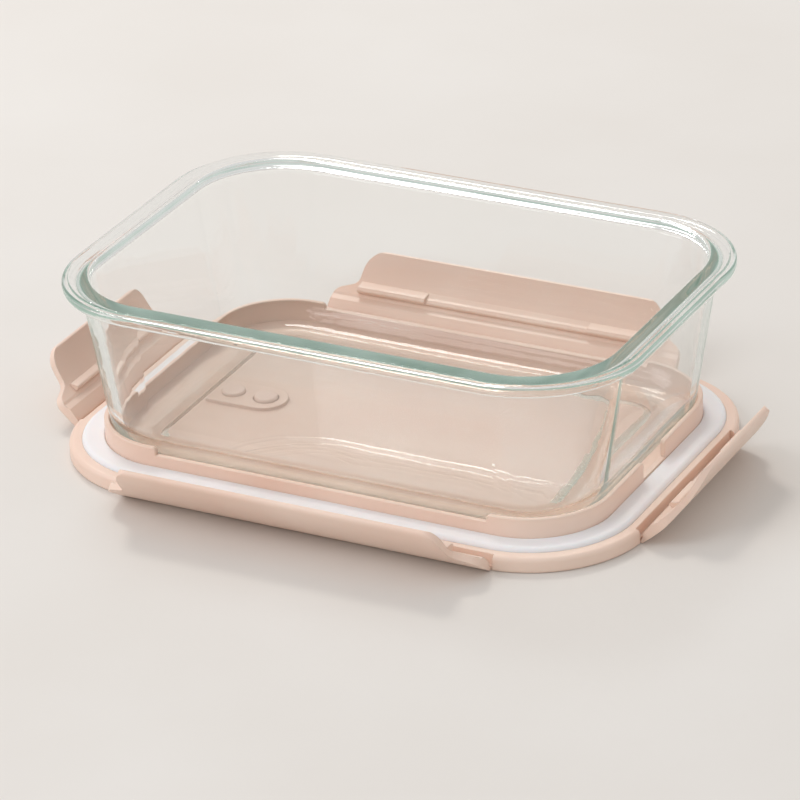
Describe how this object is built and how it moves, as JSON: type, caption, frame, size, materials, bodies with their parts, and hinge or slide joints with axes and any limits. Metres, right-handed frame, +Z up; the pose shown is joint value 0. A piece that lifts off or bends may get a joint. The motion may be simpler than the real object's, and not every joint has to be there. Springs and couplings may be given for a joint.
{
  "type": "glass food box on its snap lid",
  "caption": "Rectangular clear glass food box standing on its upside-down pink snap lid, with a white sealing gasket, hinged side clips folded out and a small steam vent.",
  "frame": {"origin": "centre of the lid's resting face, on the surface that the box stands on", "axes": "+X along the long side, away from the steam vent; +Y along the short side, towards the back clip; +Z up, out of the container's mouth"},
  "size_m": [0.2398, 0.1857, 0.0649],
  "materials": {
    "clear_glass": "polished, pressed borosilicate glass with a faint green edge tint",
    "pink_polypropylene": "satin injection-moulded polypropylene",
    "white_silicone": "matt moulded silicone",
    "pink_silicone": "matt moulded silicone"
  },
  "bodies": {
    "lid": {"lid_shell": "pink_polypropylene", "sealing_gasket": "white_silicone", "vent_anchor": "pink_silicone"},
    "container": {"glass_container": "clear_glass"},
    "front_clip": {"clip_front": "pink_polypropylene"},
    "back_clip": {"clip_back": "pink_polypropylene"},
    "left_clip": {"clip_left": "pink_polypropylene"},
    "right_clip": {"clip_right": "pink_polypropylene"},
    "vent": {"vent_flap": "pink_silicone"}
  },
  "joints": [
    {"name": "container_lift", "type": "slide", "parent": "lid", "child": "container", "axis": [0, 0, 1], "range_m": [0, 0.08]},
    {"name": "front_clip_hinge", "type": "hinge", "parent": "lid", "child": "front_clip", "pos_m": [0, -0.074, 0.0008], "axis": [1, 0, 0], "range_deg": [-45.5, 33.5], "stiffness_Nm_per_rad": 0.08},
    {"name": "back_clip_hinge", "type": "hinge", "parent": "lid", "child": "back_clip", "pos_m": [0, 0.074, 0.0008], "axis": [-1, 0, 0], "range_deg": [-41, 38], "stiffness_Nm_per_rad": 0.08},
    {"name": "left_clip_hinge", "type": "hinge", "parent": "lid", "child": "left_clip", "pos_m": [-0.1033, 0, 0.0008], "axis": [0, -1, 0], "range_deg": [-37, 42], "stiffness_Nm_per_rad": 0.08},
    {"name": "right_clip_hinge", "type": "hinge", "parent": "lid", "child": "right_clip", "pos_m": [0.1033, 0, 0.0008], "axis": [0, 1, 0], "range_deg": [-37, 42], "stiffness_Nm_per_rad": 0.08},
    {"name": "vent_flap_hinge", "type": "hinge", "parent": "lid", "child": "vent", "pos_m": [-0.0576, 0, 0.00115], "axis": [0, 1, 0], "range_deg": [0, 60], "stiffness_Nm_per_rad": 0.005, "springref_deg": -2.86}
  ]
}
